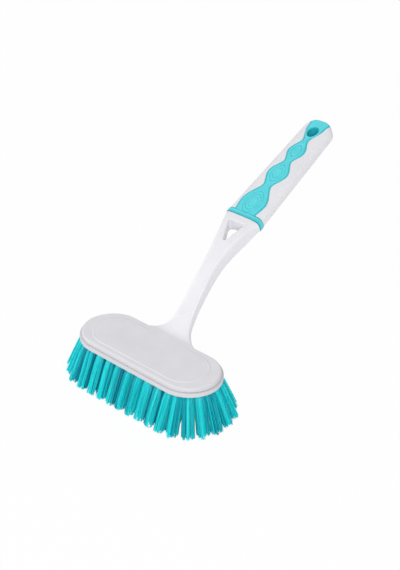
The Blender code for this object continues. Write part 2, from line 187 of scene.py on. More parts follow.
def closed_grid(name, points, wrap_rows=False):
    """A closed mesh from rows of rings of points; open row ends are capped with a fan of a centre.

    points has the shape rows, ring points, 3. Faces join each ring to the next, and wrap_rows
    joins the last row to the first.
    """
    rows, ring = points.shape[:2]
    index = np.arange(rows * ring).reshape(rows, ring)
    first = index if wrap_rows else index[:-1]
    second = np.roll(index, -1, axis=0) if wrap_rows else index[1:]
    quads = np.stack([first, np.roll(first, -1, axis=1), np.roll(second, -1, axis=1), second],
                     axis=-1)
    faces = quads.reshape(-1, 4).tolist()
    places = points.reshape(-1, 3)
    if not wrap_rows:
        ends = np.stack([points[0].mean(axis=0), points[-1].mean(axis=0)])
        places = np.concatenate([places, ends])
        hub = rows * ring
        around = np.roll(np.arange(ring), -1)
        last = index[-1]
        faces += np.stack([around, np.arange(ring), np.full(ring, hub)], axis=-1).tolist()
        faces += np.stack([last, last[around], np.full(ring, hub + 1)], axis=-1).tolist()
    return link_mesh(name, places, faces)


def carve(piece, steps):
    """Joins or cuts a piece with tools in turn, keeps the result as its mesh, drops the tools."""
    for operation, tool in steps:
        cut = piece.modifiers.new(tool.name, "BOOLEAN")
        cut.operation, cut.solver, cut.object = operation, "EXACT", tool
    bpy.context.view_layer.update()
    shown = piece.evaluated_get(bpy.context.evaluated_depsgraph_get())
    mesh = bpy.data.meshes.new_from_object(shown)
    piece.modifiers.clear()
    piece.data = mesh
    for _, tool in steps:
        bpy.data.objects.remove(tool, do_unlink=True)


def finish_piece(piece, finish, crease, slot, *nodes):
    """Smooths a new piece, dresses it, rides it on the brush, puts it in its CAD nodes' place."""
    piece.data.shade_smooth()
    piece.data.set_sharp_from_angle(angle=crease)
    piece.data.materials.append(finish)
    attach(piece, "root")
    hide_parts(*nodes)


def ease(share):
    """Half a cosine wave from zero to one, level at both ends."""
    return (1 - np.cos(np.pi * np.clip(share, 0, 1))) / 2


# The head cover's place, levels, half sizes, wall, lower edge and rim
head_shift = -0.0975334
head_top = 0.0419
cover_bottom, band_top, cavity_roof = 0.0377, 0.0412, 0.0396
cover_halves = np.array([71.5, 27.25]) * mm
panel_halves = np.array([60.5, 21.1]) * mm
cover_wall, cover_edge, rim_radius = 1.4 * mm, 0.35 * mm, 2 * mm
cavity_floor = 0.030
end_power = 1.93
end_points, side_points, rim_points = 49, 40, 9
sides_tint_fade = 0.9 * mm


def oblong(halves, level):
    """Outline of an oblong at a level: straight sides, and ends that are half superellipses."""
    straight_half = halves[0] - halves[1]
    turn = np.linspace(-np.pi / 2, np.pi / 2, end_points)
    outward = np.abs(np.cos(turn)) ** (2 / end_power)
    sideways = np.sign(turn) * np.abs(np.sin(turn)) ** (2 / end_power)
    side = np.linspace(straight_half, -straight_half, side_points + 2)[1:-1]
    x = np.concatenate([straight_half + halves[1] * outward, side])
    y = np.concatenate([halves[1] * sideways, np.full(side.size, halves[1])])
    x, y = np.concatenate([x, -x]), np.concatenate([y, -y]) + head_shift
    return np.stack([x, y, np.full(x.size, level)], axis=-1)


def cover_rings():
    """Rings of the head cover, from its lower edge up its side and over to the middle of its top.

    The side's rim is a quarter circle. The raised panel has a rounded edge and a shallow groove
    just inside it: pairs are millimetres in from the panel's edge, and millimetres of rise.
    """
    rings = [oblong(cover_halves - cover_edge, cover_bottom),
             oblong(cover_halves, cover_bottom + cover_edge)]
    for turn in np.linspace(0, np.pi / 2, rim_points):
        inset, drop = rim_radius * (1 - math.cos(turn)), rim_radius * (1 - math.sin(turn))
        rings.append(oblong(cover_halves - inset, band_top - drop))
    panel = [(-2.0, 0), (-0.8, 0), (-0.4, 0.03), (-0.1, 0.14), (0.15, 0.27), (0.45, 0.38),
             (0.8, 0.43), (1.2, 0.45), (1.5, 0.44), (1.8, 0.40), (2.1, 0.36), (2.4, 0.35),
             (2.7, 0.37), (3.1, 0.42), (3.5, 0.45), (5.0, 0.45), (9.0, 0.45), (14.0, 0.45),
             (20.6, 0.45)]
    rings += [oblong(panel_halves - inset * mm, band_top + rise * mm) for inset, rise in panel]
    return np.stack(rings)


# The handle's rise, sizes and rounded end. The collar is where it starts, behind the head
tilt = math.radians(25.6)
handle_way = np.array([math.cos(tilt), math.sin(tilt)])
collar = np.array([0.1171, head_top + 0.0814])
neck_powers, handle_powers = (6.0, 7.0), (4.0, 3.6)
handle_length = 0.1260
handle_widths = (0.0366, 0.0287)
handle_depth = 0.0149
corner_radius, edge_radius = 0.0110, 0.0028
stem_points, neck_steps, handle_steps, end_rings = 112, 111, 60, 17

# The neck's line, its width from the root over the waist to the collar, and its thickness
neck_sink, stem_inside = 0.3 * mm, 0.0100
line_points, root_crowding = 1200, 1.2
leave_reach, arrive_reach, line_overrun = 0.0129, 0.0626, 0.020
waist_width, root_taper, taper_share = 0.0142, 0.0025, 0.56
flare_share, flare_power = 0.51, 1.83
root_flare, root_flare_reach = 0.0170, 0.0069
root_depth, collar_depth, depth_share = 0.0076, 0.0174, 0.98
edge_reach = 0.0211
settle_share, settle_span = 0.8, 0.2


def neck_line():
    """The neck's front line as (y, z), its slope angles and its runs: a cubic of four controls.

    It leaves the cover's rear edge level and arrives at the collar along the handle. A stretch of
    the handle's own line follows it.
    """
    start = np.array([cover_halves[1], head_top - neck_sink])
    leave, arrive = start + np.array([leave_reach, 0]), collar - arrive_reach * handle_way
    share = np.linspace(0, 1, line_points)[:, None]
    rest = 1 - share
    line = (rest ** 3 * start + 3 * rest ** 2 * share * leave + 3 * rest * share ** 2 * arrive
            + share ** 3 * collar)
    slope = (rest ** 2 * (leave - start) + 2 * rest * share * (arrive - leave)
             + share ** 2 * (collar - arrive))
    runs = np.concatenate([[0], np.cumsum(np.linalg.norm(np.diff(line, axis=0), axis=1))])
    line = np.concatenate([line, [collar + line_overrun * handle_way]])
    slopes = np.append(np.arctan2(slope[:, 1], slope[:, 0]), tilt)
    return line, slopes, np.append(runs, runs[-1] + line_overrun)


line, slopes, runs = neck_line()
neck_length = runs[-2]


def neck_size(run):
    """Width and thickness of the neck at a run.

    The width tapers to a waist, flares to the collar by a power law, and has an exponential flare
    at its root. The thickness eases from the cover's edge to the root, the window and the handle.
    """
    share = run / neck_length
    width = waist_width + root_taper * np.maximum(1 - share / taper_share, 0)
    flare = np.maximum((share - flare_share) / (1 - flare_share), 0) ** flare_power
    width = width + (handle_widths[0] - waist_width) * flare
    width = width + 2 * root_flare * np.exp(-run / root_flare_reach)
    thickness = (root_depth + (collar_depth - root_depth) * ease(share / depth_share)
                 + (handle_depth - collar_depth) * ease((share - settle_share) / settle_span))
    edge = head_top - neck_sink - cover_bottom
    return width, edge + (thickness - edge) * ease(run / edge_reach)


def drawn_in(to_end, radius):
    """How far a rounded end has drawn in: the radius less the arc's height over the chord."""
    short = np.maximum(radius - to_end, 0)
    return radius - np.sqrt(np.maximum(radius ** 2 - short ** 2, 0))


def half_width(run):
    """Half the handle's width: a straight taper, drawn in at the end by its corner radius."""
    narrowing = (handle_widths[1] - handle_widths[0]) * run / handle_length
    return (handle_widths[0] + narrowing) / 2 - drawn_in(handle_length - run, corner_radius)


def half_depth(run):
    """Half the handle's thickness, drawn in at the end by its edge radius."""
    return handle_depth / 2 - drawn_in(handle_length - run, edge_radius)


def crown(run, across):
    """Height of the handle's front over its middle line: a superellipse of the front's power."""
    share = np.clip(np.abs(across) / half_width(run), 0, 1)
    return half_depth(run) * (1 - share ** handle_powers[0]) ** (1 / handle_powers[0])


def on_handle(run, across, outward):
    """World points of places along, across and outward of the handle's tilted middle line."""
    lifted = outward - handle_depth / 2
    y = head_shift + collar[0] + run * handle_way[0] - lifted * handle_way[1]
    z = collar[1] + run * handle_way[1] + lifted * handle_way[0]
    return np.stack(np.broadcast_arrays(across, y, z), axis=-1)


def squarish(turn, wide, painted_recess_shade, front, back):
    """A superellipse section: places across and outward, with a power for its front and back."""
    power = np.where(np.sin(turn) >= 0, front, back)
    across = wide * np.sign(np.cos(turn)) * np.abs(np.cos(turn)) ** (2 / power)
    return across, painted_recess_shade * np.sign(np.sin(turn)) * np.abs(np.sin(turn)) ** (2 / power)


def stem_rings():
    """Rings of the neck and handle, from inside the head to the handle's rounded end.

    The section's powers ease from the neck's to the handle's before the collar. Rings crowd at
    the neck's root by a power law, and at the handle's end by a sine.
    """
    turn = np.linspace(0, 2 * np.pi, stem_points, endpoint=False)[None, :]
    crowded = neck_length * np.linspace(0, 1, neck_steps) ** root_crowding
    run = np.concatenate([[-stem_inside], crowded])[:, None]
    reach = np.maximum(run, 0)
    width, thickness = neck_size(reach)
    slope = np.interp(reach, runs, slopes)
    blend = ease((reach / neck_length - settle_share) / settle_span)
    front, back = (one * (1 - blend) + two * blend for one, two in zip(neck_powers, handle_powers))
    across, outward = squarish(turn, width / 2, thickness / 2, front, back)
    outward = outward - thickness / 2
    y = (head_shift + np.interp(reach, runs, line[:, 0]) + np.minimum(run, 0)
         - outward * np.sin(slope))
    z = np.interp(reach, runs, line[:, 1]) + outward * np.cos(slope)
    neck = np.stack([across, y, z], axis=-1)
    end = handle_length - corner_radius * (1 - np.sin(np.linspace(0, np.pi / 2, end_rings)))
    run = np.concatenate([np.linspace(0, end[0], handle_steps + 1)[1:], end[1:]])[:, None]
    across, outward = squarish(turn, half_width(run), half_depth(run), *handle_powers)
    return np.concatenate([neck, on_handle(run, across, outward)])


# The window: where its apex and base lie on the neck, its corners, its mouth and its flare
window_shares = np.array([0.750, 0.945])
window_half, window_corner, window_lean = 9.0 * mm, 1.6 * mm, math.radians(10)
mouth_radius, mouth_angle, mouth_out = 1.0 * mm, 58, 1.6 * mm
throat_depth, back_depth, back_growth = 9.6 * mm, 21.6 * mm, 8.1 * mm
corner_points, mouth_points = 13, 8


def window_tool():
    """Cutter for the three-cornered window: a rounded mouth, leaned walls and a flare to the back.

    The outline is a triangle with rounded corners, laid along the neck's front line with its apex
    towards the head, and grown outwards by an amount for each depth: along an arc at the mouth,
    by nothing down to the throat, and then evenly to the back. Above the mouth it goes on straight.
    """
    places = window_shares * neck_length
    on_line = [np.interp(places, runs, line[:, i]) for i in (0, 1)]
    chord = np.linalg.norm(np.diff(on_line, axis=1))
    corners = np.array([(0, 0), (window_half, chord), (-window_half, chord)])
    sides = np.roll(corners, -1, axis=0) - corners
    outward = np.stack([sides[:, 1], -sides[:, 0]], axis=-1)
    outward = outward / np.linalg.norm(sides, axis=1)[:, None]
    before = np.roll(outward, 1, axis=0)
    mitre = (before + outward) / (1 + (before * outward).sum(axis=1))[:, None]
    centres = corners - window_corner * mitre
    start = np.arctan2(before[:, 1], before[:, 0])
    swing = (np.arctan2(outward[:, 1], outward[:, 0]) - start) % (2 * np.pi)
    angle = start[:, None] + swing[:, None] * np.linspace(0, 1, corner_points)
    arm = np.stack([np.cos(angle), np.sin(angle)], axis=-1).reshape(1, -1, 2)
    arc = np.radians(np.linspace(mouth_angle, 0, mouth_points))
    sunk, grown = mouth_radius * (math.sin(arc[0]) - np.sin(arc)), mouth_radius * (1 - np.cos(arc))
    depth = np.concatenate([[-mouth_radius], sunk, [throat_depth, back_depth]])
    growth = np.concatenate([[mouth_out + grown[0]], grown, [0, back_growth]])
    reach = window_corner + growth[:, None, None]
    outline = np.repeat(centres, corner_points, axis=0)[None] + reach * arm
    along = places[0] + outline[..., 1] * np.diff(places)[0] / chord
    y = head_shift + np.interp(along, runs, line[:, 0]) + depth[:, None] * math.sin(window_lean)
    z = np.interp(along, runs, line[:, 1]) - depth[:, None] * math.cos(window_lean)
    return closed_grid("window_tool", np.stack([outline[..., 0], y, z], axis=-1))


# The soft grip's places: band, wavy inlay of bulbs and waists in turn, and hanging hole
band_width = 0.0050
inlay_end_margin, hole_from_end = 0.0006, 0.0157
inlay_start, inlay_end, inlay_span = band_width / 2, handle_length - inlay_end_margin, 0.1219
inlay_end_zone, inlay_margin, wave_power = 5 * mm, 0.5 * mm, 0.8
bulb_shares = np.array([0.126, 0.431, 0.669, 0.930])
waist_shares = np.array([0.00, 0.299, 0.559, 0.786, 1.00])
bulb_halves = np.array([13.0, 10.2, 8.5, 8.9]) * mm
waist_halves = np.array([10.9, 4.5, 3.9, 3.3, 10.4]) * mm
hole_halves = np.array([5.3, 6.2]) * mm
hole_y = head_shift + collar[0] + (handle_length - hole_from_end) * math.cos(tilt)
grip_gap, recess_depth, groove_depth, tool_over = 0.3 * mm, 1.6 * mm, 1.9 * mm, 2 * mm
eyelet_seat, bore_levels, bore_sides = 1.7 * mm, (0.12, 0.20), 96
band_points, band_turn_offset = 168, 0.01
recess_steps, recess_columns, closing_steps = 240, 15, 24


def inlay_runs(steps, past_end):
    """Runs along the inlay as a column: even steps, then finer ones to its end, by a sine."""
    closing = 1 - np.sin(np.linspace(0, np.pi / 2, closing_steps + 1)[1:])
    even = np.linspace(inlay_start, inlay_end - inlay_end_zone, steps)
    return np.append(even, inlay_end + past_end - (inlay_end_zone + past_end) * closing)[:, None]


def inlay_half(run):
    """Half width of the wavy inlay: bulbs and waists in turn, joined by eased cosine waves.

    At the handle's end it follows the end's outline, a margin inside it.
    """
    shares = np.sort(np.concatenate([bulb_shares, waist_shares]))
    halves = np.empty(shares.size)
    halves[0::2], halves[1::2] = waist_halves, bulb_halves
    place = np.clip((run - inlay_start) / inlay_span, 0, 1)
    after = np.clip(np.searchsorted(shares, place), 1, shares.size - 1)
    low, high = halves[after - 1], halves[after]
    share = (place - shares[after - 1]) / (shares[after] - shares[after - 1])
    rising = np.where(high > low, share, 1 - share)
    half = np.minimum(low, high) + np.abs(high - low) * ease(rising) ** wave_power
    return np.minimum(half, half_width(run) - inlay_margin)


def recess_tool():
    """Cutter for the inlay's recess: its outline grown by the gap, sunk evenly under the crown."""
    run = inlay_runs(recess_steps, grip_gap)
    halves = inlay_half(run[:, 0])[:, None] + grip_gap
    across = halves * np.linspace(-1, 1, recess_columns)[None, :]
    height = crown(run, across)
    top = on_handle(run, across, height + tool_over)
    bottom = on_handle(run, across, height - recess_depth)[:, ::-1]
    return closed_grid("recess_tool", np.concatenate([top, bottom], axis=1))


def groove_tool():
    """Cutter for the band's groove: a square-edged loop round the handle, a gap clear each side.

    Its points are turned a little against the handle's, so that no edges of the two coincide.
    """
    turn = np.linspace(0, 2 * np.pi, band_points, endpoint=False)[:, None] + band_turn_offset
    near, far = -grip_gap, band_width + grip_gap
    run = np.array([near, near, far, far])[None, :]
    proud = np.array([-groove_depth, tool_over, tool_over, -groove_depth])[None, :]
    section = squarish(turn, half_width(run) + proud, half_depth(run) + proud, *handle_powers)
    return closed_grid("groove_tool", on_handle(run, *section), wrap_rows=True)


def bore_tool(margin):
    """An upright oval prism round the hanging hole, a margin wider than the hole."""
    turn = np.linspace(0, 2 * np.pi, bore_sides, endpoint=False)
    x = (hole_halves[0] + margin) * np.cos(turn)
    y = hole_y + (hole_halves[1] + margin) * np.sin(turn)
    rings = [np.stack([x, y, np.full(turn.size, z)], axis=-1) for z in bore_levels]
    return closed_grid("bore_tool", np.stack(rings))


white = moulded_polypropylene()
white_crease = math.radians(32)
body = closed_grid("moulded_body", cover_rings())
cavity = [oblong(cover_halves - cover_wall, level) for level in (cavity_floor, cavity_roof)]
carve(body, [("UNION", closed_grid("stem", stem_rings())),
             ("DIFFERENCE", closed_grid("cavity_tool", np.stack(cavity))),
             ("DIFFERENCE", window_tool()), ("DIFFERENCE", recess_tool()),
             ("DIFFERENCE", groove_tool()), ("DIFFERENCE", bore_tool(eyelet_seat))])
finish_piece(body, white, white_crease, "white_polypropylene", "brush_body")
# Large faces weigh more in the shading, so that flat walls stay even beside their rounded edges
even_shading = body.modifiers.new("even shading", "WEIGHTED_NORMAL")
even_shading.keep_sharp = True

# Bristle plate: the white plate that closes the cover from below and holds the tufts.
# The same moulded PP; its lip shows all round as a thin line under the cover, and each tuft
# has a leaned blind hole in its underside.

plate_bottom, flange_top = 0.0336, 0.0376
lip_reach, lip_low_round, lip_high_round = 1.6 * mm, 0.6 * mm, 0.3 * mm
plate_gap, lip_points = 0.3 * mm, 5
hole_sides, hole_radius, hole_reach = 16, 2.5 * mm, np.array([-3.0, 4.2]) * mm

# The tufts' rows: an outer and a middle oblong, and a straight centre row. Steps are counted
# along a straight side and round an end
ring_radius = 23.35 * mm
straight = 44.25 * mm
row_spacing = 11.5 * mm
outer_steps, middle_steps, centre_count = (8, 9), (6, 2), 6
lean_angles = (22, 8, 0)


def oblong_row(radius, straight_steps, end_steps):
    """Places and outward directions of the tufts of one oblong row, in the plate's order.

    Each long side has straight_steps + 1 tufts, and each half round end has its inner ones.
    """
    places, outwards = [], []
    for side in (-1, 1):
        share = np.arange(straight_steps + 1) / straight_steps
        x = side * straight * (1 - 2 * share)
        places.append(np.stack([x, np.full(share.size, side * radius)], axis=-1))
        outwards.append(np.tile([0.0, side], (share.size, 1)))
        turn = np.pi * np.arange(1, end_steps) / end_steps
        outward = np.stack([-side * np.sin(turn), side * np.cos(turn)], axis=-1)
        places.append(np.array([-side * straight, 0]) + radius * outward)
        outwards.append(outward)
    return np.concatenate(places), np.concatenate(outwards)


outer = oblong_row(ring_radius, *outer_steps)
middle = oblong_row(ring_radius - row_spacing, *middle_steps)
centre_x = straight * (2 * np.arange(1, centre_count + 1) - centre_count - 1) / centre_count
centre = np.stack([centre_x, np.zeros(centre_count)], axis=-1), np.zeros((centre_count, 2))
slants = [math.tan(math.radians(angle)) for angle in lean_angles]


def plate_rings():
    """Rings of the plate: a lip with both edges rounded, then the core that fills the cover.

    Each edge is a quarter circle, the upper one smaller, where the lip meets the cover.
    """
    lip = cover_halves + lip_reach
    low, high = [], []
    for turn in np.linspace(0, np.pi / 2, lip_points):
        inset, rise = lip_low_round * (1 - math.sin(turn)), lip_low_round * (1 - math.cos(turn))
        low.append(oblong(lip - inset, plate_bottom + rise))
        inset, drop = lip_high_round * (1 - math.cos(turn)), lip_high_round * (1 - math.sin(turn))
        high.append(oblong(lip - inset, flange_top - drop))
    core = cover_halves - cover_wall - plate_gap
    return np.stack(low + high + [oblong(core, flange_top), oblong(core, cavity_roof - plate_gap)])


def hole_tools():
    """Cutters for all the tuft holes in one mesh: prisms with level ends, leaned as their tufts."""
    turn = np.linspace(0, 2 * np.pi, hole_sides, endpoint=False)
    disc = np.stack([np.cos(turn), np.sin(turn)], axis=-1) * hole_radius
    roots = np.concatenate([row[0] for row in (outer, middle, centre)]) + np.array([0, head_shift])
    leans = [row[1] * slant for row, slant in zip((outer, middle, centre), slants)]
    depth = hole_reach[None, :, None]
    flat = (roots[:, None] - np.concatenate(leans)[:, None] * depth)[:, :, None] + disc
    level = np.broadcast_to((plate_bottom + depth)[..., None], (*flat.shape[:3], 1))
    index = np.arange(len(roots) * 2 * hole_sides).reshape(-1, 2, hole_sides)
    low, high = index[:, 0], index[:, 1]
    quads = np.stack([low, np.roll(low, -1, axis=1), np.roll(high, -1, axis=1), high], axis=-1)
    faces = quads.reshape(-1, 4).tolist() + low[:, ::-1].tolist() + high.tolist()
    return link_mesh("tuft_hole_tools", np.concatenate([flat, level], axis=-1), faces)


plate = closed_grid("moulded_plate", plate_rings())
carve(plate, [("DIFFERENCE", hole_tools())])
finish_piece(plate, white, white_crease, "white_polypropylene", "bristle_plate")

# Soft grip: band, wavy inlay and eyelet, moulded over the handle in one shot.
# Thermoplastic rubber (TPR): matt and a little velvety, with raised ovals in its bulbs and a
# shallow groove along its edges, where the turquoise is darkened by painted shade.

# The inlay: ovals in its three lower bulbs, a channel along its edges and a rounded rise
oval_reaches, oval_counts = np.array([17.5, 15.0, 12.5]) * mm, (4, 3, 2)
oval_squeeze, oval_span, oval_inner = 1.12, 0.95, 0.55
oval_outer, oval_fade = 0.84, 0.14
oval_height, channel_sink = 0.15 * mm, 0.40 * mm
channel_place, channel_half = 0.85 * mm, 0.48 * mm
# Painted shade: shares of the darker turquoise in the edge channel and in the ovals' valleys
channel_painted_shade, valley_painted_shade = 0.90, 0.50
inlay_rise, inlay_rounding, inlay_sink, inlay_depth = 0.30 * mm, 0.2 * mm, 0.08 * mm, 1.2 * mm
inlay_steps, inlay_columns, inlay_bore = 396, 85, 0.7 * mm
inlay_crease, ring_crease = math.radians(40), math.radians(60)

# The band: a rounded loop, sunk in its groove, with a fine line round it
band_half, band_sink, band_power, band_profile_points = 1.0 * mm, 0.60 * mm, 5.7, 40
# The fine line and the band's edges, where it sinks into its groove, get painted shade
line_place, line_half, line_sink, line_painted_shade = 1.5 * mm, 0.45 * mm, 0.25 * mm, 0.8
band_edge, band_edge_fade = 1.4 * mm, 0.7 * mm

# The eyelet: a lining of the hole with a low rounded rim on the front and on the back
eyelet_points, rim_columns, bore_columns = 128, 9, 8
rim_width, rim_height, rim_power = 1.4 * mm, 0.30 * mm, 0.6
fitting_rounds, end_clearance = 8, 0.2 * mm


def moulded_rubber():
    """Overmoulded TPR: matt and slightly velvety, with a fine spark-eroded grain.

    A point attribute, 1 in the bore and in grooves, mixes in a darker turquoise as painted shade:
    light reaches the camera there only after it has been tinted twice.
    """
    finish, tree, shader = new_finish("moulded_thermoplastic_rubber")
    set_all(shader, {"IOR": 1.50, "Subsurface Weight": 0.10, "Subsurface Scale": 1.0 * mm,
                     "Subsurface Radius": (0.5, 1.0, 1.0), "Sheen Weight": 0.15,
                     "Sheen Roughness": 0.5})
    place = add(tree, "ShaderNodeTexCoord").outputs["Object"]
    tint = cloudy_tint(tree, place, 9 * mm, {}, "#52D6E0", "#5DDFE8")
    painted_recess_shade = add(tree, "ShaderNodeAttribute", {"attribute_name": "painted_recess_shade"})
    colour = add(tree, "ShaderNodeMix", {"data_type": "RGBA"}, {"Factor": painted_recess_shade.outputs["Fac"]})
    tree.links.new(tint, colour.inputs[colour_a])
    # The darker turquoise of the painted shade in grooves and the bore
    colour.inputs[colour_b].default_value = linear("#00AEBC")
    tree.links.new(colour.outputs[colour_mixed], shader.inputs["Base Color"])
    # The grain is about 0.1 mm, and is drawn at 0.3 mm so that it shows
    grain = add(tree, "ShaderNodeTexNoise", {"Scale": 1 / (0.3 * mm), "Detail": 2.0},
                {"Vector": place})
    gloss = add(tree, "ShaderNodeMapRange", {"To Min": 0.48, "To Max": 0.66},
                {"Value": grain.outputs["Fac"]})
    tree.links.new(gloss.outputs["Result"], shader.inputs["Roughness"])
    bump = add(tree, "ShaderNodeBump", {"Strength": 0.5, "Distance": 0.02 * mm},
               {"Height": grain.outputs["Fac"]})
    tree.links.new(bump.outputs["Normal"], shader.inputs["Normal"])
    return finish


def oval_waves(run, across):
    """Waves of the raised ovals, from -1 in their valleys to 1 on their ridges, 0 outside a bulb.

    Each is a cosine of the distance from the bulb's middle, in shares of its reach along and of
    the inlay's half width across, and fades out in the middle and before the inlay's edge.
    """
    wave = np.zeros(np.broadcast(run, across).shape)
    middles = inlay_start + bulb_shares[:3] * inlay_span
    for place, reach, count in zip(middles, oval_reaches, oval_counts):
        spread = np.hypot((run - place) / reach, oval_squeeze * across / inlay_half(run))
        inside = ease(spread / oval_inner) * (1 - ease((spread - oval_outer) / oval_fade))
        wave += inside * np.cos(2 * np.pi * spread * (count + 0.5) / oval_span)
    return wave


def bell(offset, half):
    """A bell curve: 1 at no offset, and about a third at its half width."""
    return np.exp(-(offset / half) ** 2)


def set_painted_recess_shade(piece, values):
    """Stores the painted shade of each point of a new grid, 1 deep in a groove; its cap centres are
    0.
    """
    padded = np.zeros(len(piece.data.vertices))
    padded[:values.size] = values.reshape(-1)
    piece.data.attributes.new("painted_recess_shade", "FLOAT", "POINT").data.foreach_set("value", padded)


rubber = moulded_rubber()

run = inlay_runs(inlay_steps, 0)
sides = np.sin(np.linspace(-np.pi / 2, np.pi / 2, inlay_columns))[None, :]
halves = inlay_half(run[:, 0])[:, None]
across = halves * sides
to_edge = halves * (1 - np.abs(sides))
waves = oval_waves(run, across)
channel = bell(to_edge - channel_place, channel_half)
rise = inlay_rise * (1 - np.exp(-to_edge / inlay_rounding))
height = crown(run, across) - inlay_sink + rise + oval_height * waves - channel_sink * channel
skirt = halves * np.array([[1.0, -1.0]])
under = on_handle(run, skirt, crown(run, skirt) - inlay_depth)
inlay = closed_grid("grip_inlay", np.concatenate([on_handle(run, across, height), under], axis=1))
# Painted shade: darker turquoise in the edge channel and in the ovals' valleys
painted_recess_shade = np.maximum(channel_painted_shade * channel, valley_painted_shade * np.maximum(-waves, 0))
set_painted_recess_shade(inlay, np.concatenate([painted_recess_shade, np.zeros(skirt.shape)], axis=1))
carve(inlay, [("DIFFERENCE", bore_tool(inlay_bore))])
finish_piece(inlay, rubber, inlay_crease, "turquoise_soft_grip", "soft_grip")

turn = np.linspace(0, 2 * np.pi, band_points, endpoint=False)[:, None]
profile = np.linspace(0, 2 * np.pi, band_profile_points, endpoint=False)[None, :]
off_middle, proud = squarish(profile, band_width / 2, band_half, band_power, band_power)
along = off_middle + band_width / 2
fine_line = bell(along - line_place, line_half)
proud = proud - band_sink - line_sink * fine_line
ring = squarish(turn, half_width(along) + proud, half_depth(along) + proud, *handle_powers)
band = closed_grid("grip_band", on_handle(along, *ring), wrap_rows=True)
# Painted shade: the band's edges and its fine line are drawn darker
band_edge_painted_shade = ease((np.abs(off_middle) - band_edge) / band_edge_fade)
set_painted_recess_shade(band, np.broadcast_to(np.maximum(band_edge_painted_shade, line_painted_shade * fine_line), ring[0].shape))
finish_piece(band, rubber, ring_crease, "turquoise_soft_grip", "soft_grip")


def handle_height(x, y, side):
    """Height of the handle's surface over a point of the floor plan, on its front or back side.

    The run and the crown depend on each other, so they are worked out in turn until they agree.
    """
    outward = np.full(np.shape(x), side * handle_depth / 2)
    for _ in range(fitting_rounds):
        lifted = outward - handle_depth / 2
        flat = (y - head_shift - collar[0] + lifted * handle_way[1]) / handle_way[0]
        run = np.clip(flat, 0, handle_length - end_clearance)
        if side > 0:
            outward = crown(run, x)
        else:
            share = np.clip(np.abs(x) / half_width(run), 0, 1)
            outward = -half_depth(run) * (1 - share ** handle_powers[1]) ** (1 / handle_powers[1])
    return on_handle(run, x, outward)[..., 2]


turn = np.linspace(0, 2 * np.pi, eyelet_points, endpoint=False)[:, None]
rim_turn = np.linspace(0, np.pi, rim_columns)
rim_out = rim_width * (1 - np.cos(rim_turn)) / 2
lifts = rim_height * np.sin(rim_turn) ** rim_power
margins = np.concatenate([rim_out, rim_out[::-1], np.zeros(bore_columns)])[None, :]
x = (hole_halves[0] + margins) * np.cos(turn)
y = hole_y + (hole_halves[1] + margins) * np.sin(turn)
fronts, rears = slice(0, rim_columns), slice(rim_columns, 2 * rim_columns)
front = handle_height(x[:, fronts], y[:, fronts], 1) + lifts
rear = handle_height(x[:, rears], y[:, rears], -1) - lifts
climb = np.linspace(0, 1, bore_columns + 2)[None, 1:-1]
bore = rear[:, -1:] * (1 - climb) + front[:, :1] * climb
z = np.concatenate([front, rear, bore], axis=1)
eyelet = closed_grid("hanging_eyelet", np.stack([x, y, z], axis=-1), wrap_rows=True)
# Painted shade: the bore's lining is drawn in the darker turquoise
bore_painted_shade = np.concatenate([np.zeros(2 * rim_columns), np.ones(bore_columns)])
set_painted_recess_shade(eyelet, np.tile(bore_painted_shade, (eyelet_points, 1)))
finish_piece(eyelet, rubber, ring_crease, "turquoise_soft_grip", "soft_grip")

# Bristle tufts: bundles of filament folded over a staple and driven into the plate's holes.
# Extruded polyester monofilament 0.4 mm thick: smooth, clear-ish turquoise, so its tips glow and
# its roots go dark.

tuft_names, tuft_counts = ("outer", "middle", "centre"), (210, 180, 180)
row_tip_halves = np.array([(5.8, 4.9), (6.2, 7.4), (6.8, 7.4)]) * mm
# Painted shade by row: the two inner rows drawn darker, the outer row a little lighter
painted_row_shades = (0.05, -0.42, -0.42)
end_fan, end_fan_gain = 0.9 * mm, 3
lock_count, lock_pull = 16, 0.25
lock_shortfall, filament_shortfall, shortfall_powers = 2.2 * mm, 1.5 * mm, (3, 4)
station_shares = np.array([-0.09, 0.0, 0.05, 0.22, 0.48, 0.75, 1.0])
fold_radius, swell, swell_reach, swell_stretch = 2.1 * mm, 2.7 * mm, 1.1 * mm, 1.02
lock_wander, filament_wander, tuft_wander, bow_size = np.array([0.25, 0.20, 0.35, 0.12]) * mm
filament_radius, filament_sides, box_margin = 0.21 * mm, 3, 0.22 * mm
# Shares of the filaments' shade: random tone by lock, filament and tuft, and painted shade on
# flanks
lock_tone, filament_tone, tuft_tone, painted_flank_shade = 0.70, 0.25, 0.05, 0.55
tuft_crease = math.radians(40)


def filament():
    """Extruded polyester filament: smooth, partly clear, tinted; each has its own shade."""
    finish, tree, shader = new_finish("polyester_filament")
    set_all(shader, {"IOR": 1.57, "Roughness": 0.34, "Specular IOR Level": 0.22,
                     "Subsurface Weight": 0.45, "Subsurface Scale": 1.2 * mm,
                     "Subsurface Radius": (0.05, 0.9, 1.0)})
    shade = add(tree, "ShaderNodeAttribute", {"attribute_name": "shade"})
    tint = add(tree, "ShaderNodeValToRGB", links={"Fac": shade.outputs["Fac"]})
    tint.color_ramp.elements[0].color = linear("#009CB6")
    tint.color_ramp.elements[1].color = linear("#22FAFF")
    tree.links.new(tint.outputs["Color"], shader.inputs["Base Color"])
    return finish


def sunflower(count, phase):
    """Even places on a unit disc: each next one a golden angle on, and a bit farther out."""
    reach = np.sqrt((np.arange(count) + 0.5) / count)
    turn = np.arange(count) * np.pi * (3 - math.sqrt(5)) + phase
    return np.stack([reach * np.cos(turn), reach * np.sin(turn)], axis=-1)


